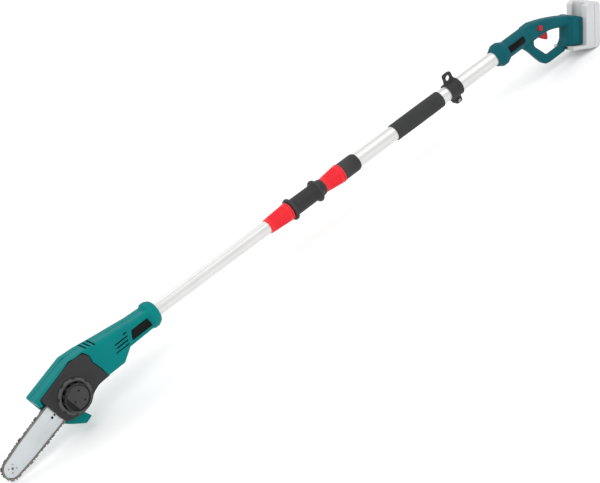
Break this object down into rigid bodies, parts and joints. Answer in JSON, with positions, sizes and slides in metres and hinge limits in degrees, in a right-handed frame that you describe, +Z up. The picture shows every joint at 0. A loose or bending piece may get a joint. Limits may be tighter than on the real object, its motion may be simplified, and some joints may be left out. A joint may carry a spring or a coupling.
{
  "type": "telescoping pole saw",
  "caption": "Battery pole chainsaw: angled cutting head with guide bar on a telescoping tube, clamp nuts, strap eye, D-handle with trigger and slide-on battery.",
  "frame": {"origin": "centre of the saw's box at its lowest level", "axes": "+X along the pole towards the handle, -Y the sprocket cover side, +Z up as the saw is held with its trigger below the grip"},
  "size_m": [1.6762, 0.083, 0.1538],
  "materials": {
    "head_teal": "semi-gloss moulded",
    "handle_teal": "satin moulded",
    "black_plastic": "fine texture",
    "red_plastic": "satin moulded",
    "foam": "closed-cell foam",
    "pole_tube": "satin silver",
    "bar_steel": "ground",
    "chain_steel": "oiled",
    "machine_steel": "zinc plated",
    "lead_rubber": "matt",
    "pack_grey": "fine texture",
    "cell_wrap": "shrink sleeve"
  },
  "bodies": {
    "handle_pole": {"outer_tube": "pole_tube", "clamp_sleeve": "black_plastic", "foam_grip": "foam", "hanger_clamp": "black_plastic", "hanger_screw": "machine_steel", "hanger_nut": "machine_steel", "handle_shell_button_side": "handle_teal", "handle_shell_far_side": "handle_teal", "trigger_pin": "machine_steel", "switch_module": "black_plastic", "terminal_block": "black_plastic", "handle_badge": "black_plastic", "handle_screw_1": "machine_steel", "handle_screw_2": "machine_steel", "handle_screw_3": "machine_steel", "handle_screw_4": "machine_steel"},
    "rear_nut": {"rear_lock_nut": "red_plastic"},
    "inner_section": {"inner_tube": "pole_tube", "pole_coupling": "black_plastic", "inner_socket": "black_plastic", "coiled_lead": "lead_rubber"},
    "front_nut": {"front_lock_nut": "red_plastic"},
    "saw_head": {"front_tube": "pole_tube", "front_plug": "black_plastic", "front_lead": "lead_rubber", "head_shell_cover_side": "head_teal", "head_shell_far_side": "head_teal", "sprocket_cover": "black_plastic", "bar_stud": "machine_steel", "shaft_bearing_cover_side": "machine_steel", "shaft_bearing_far_side": "machine_steel", "motor_can": "machine_steel", "branch_hook": "head_teal", "head_badge": "black_plastic", "head_screw_1": "machine_steel", "head_screw_2": "machine_steel", "head_screw_3": "machine_steel"},
    "bar": {"guide_bar": "bar_steel", "tension_pin": "machine_steel", "saw_chain": "chain_steel"},
    "bar_nose": {"nose_sprocket": "bar_steel"},
    "drive": {"drive_sprocket": "machine_steel", "output_shaft": "machine_steel", "crown_gear": "machine_steel"},
    "rotor": {"motor_rotor": "machine_steel", "motor_pinion": "machine_steel"},
    "ring": {"tension_ring": "black_plastic"},
    "knob": {"clamp_knob": "black_plastic"},
    "trigger": {"trigger": "red_plastic"},
    "button": {"lock_off_button": "red_plastic"},
    "battery": {"battery_case": "pack_grey", "battery_back": "pack_grey", "battery_cell_1": "cell_wrap", "battery_cell_2": "cell_wrap", "battery_cell_3": "cell_wrap", "battery_cell_4": "cell_wrap", "battery_cell_5": "cell_wrap"},
    "latch": {"battery_latch_button": "black_plastic"}
  },
  "joints": [
    {"name": "telescope", "type": "slide", "parent": "handle_pole", "child": "inner_section", "axis": [-1, 0, 0], "range_m": [0, 0.35]},
    {"name": "rear_nut_turn", "type": "hinge", "parent": "handle_pole", "child": "rear_nut", "pos_m": [0.07562, 0.00645, 0.11281], "axis": [1, 0, 0], "range_deg": [0, 120]},
    {"name": "front_nut_turn", "type": "hinge", "parent": "inner_section", "child": "front_nut", "pos_m": [-0.07338, 0.00645, 0.11281], "axis": [1, 0, 0], "range_deg": [0, 120]},
    {"name": "head_section_pull", "type": "slide", "parent": "inner_section", "child": "saw_head", "axis": [-1, 0, 0], "range_m": [0, 0.07]},
    {"name": "tension_ring_turn", "type": "hinge", "parent": "saw_head", "child": "ring", "pos_m": [-0.64078, 0.00645, 0.08481], "axis": [0, -1, 0], "range_deg": [0, 90]},
    {"name": "bar_tension", "type": "slide", "parent": "saw_head", "child": "bar", "axis": [0.9548, 0, 0.2974], "range_m": [0, 0.005]},
    {"name": "clamp_knob_turn", "type": "hinge", "parent": "saw_head", "child": "knob", "pos_m": [-0.64078, 0.00645, 0.08481], "axis": [0, -1, 0], "range_deg": [0, 990]},
    {"name": "sprocket_spin", "type": "hinge", "parent": "saw_head", "child": "drive", "pos_m": [-0.6045, 0.00645, 0.09611], "axis": [0, 1, 0], "continuous": true},
    {"name": "rotor_spin", "type": "hinge", "parent": "saw_head", "child": "rotor", "pos_m": [-0.55178, 0.00845, 0.09611], "axis": [1, 0, 0], "continuous": true},
    {"name": "nose_spin", "type": "hinge", "parent": "bar", "child": "bar_nose", "pos_m": [-0.81311, -0.00755, 0.03113], "axis": [0, 1, 0], "continuous": true},
    {"name": "trigger_pull", "type": "hinge", "parent": "handle_pole", "child": "trigger", "pos_m": [0.66862, 0.00645, 0.10481], "axis": [0, -1, 0], "range_deg": [0, 12], "stiffness_Nm_per_rad": 0.6, "springref_deg": -5.73},
    {"name": "lock_off_press", "type": "slide", "parent": "handle_pole", "child": "button", "axis": [0, 1, 0], "range_m": [0, 0.0025], "stiffness_N_per_m": 400, "springref_m": -0.002},
    {"name": "battery_slide", "type": "slide", "parent": "handle_pole", "child": "battery", "axis": [-0.4242, 0, -0.9056], "range_m": [0, 0.09]},
    {"name": "latch_press", "type": "slide", "parent": "battery", "child": "latch", "axis": [0.9056, 0, -0.4242], "range_m": [0, 0.0025], "stiffness_N_per_m": 400, "springref_m": -0.002}
  ],
  "couplings": [
    {"joint": "tension_ring_turn", "follows": "bar_tension", "rad_per_m": 314.16},
    {"joint": "rotor_spin", "follows": "sprocket_spin", "ratio": -2.8},
    {"joint": "nose_spin", "follows": "sprocket_spin", "ratio": 0.7}
  ]
}
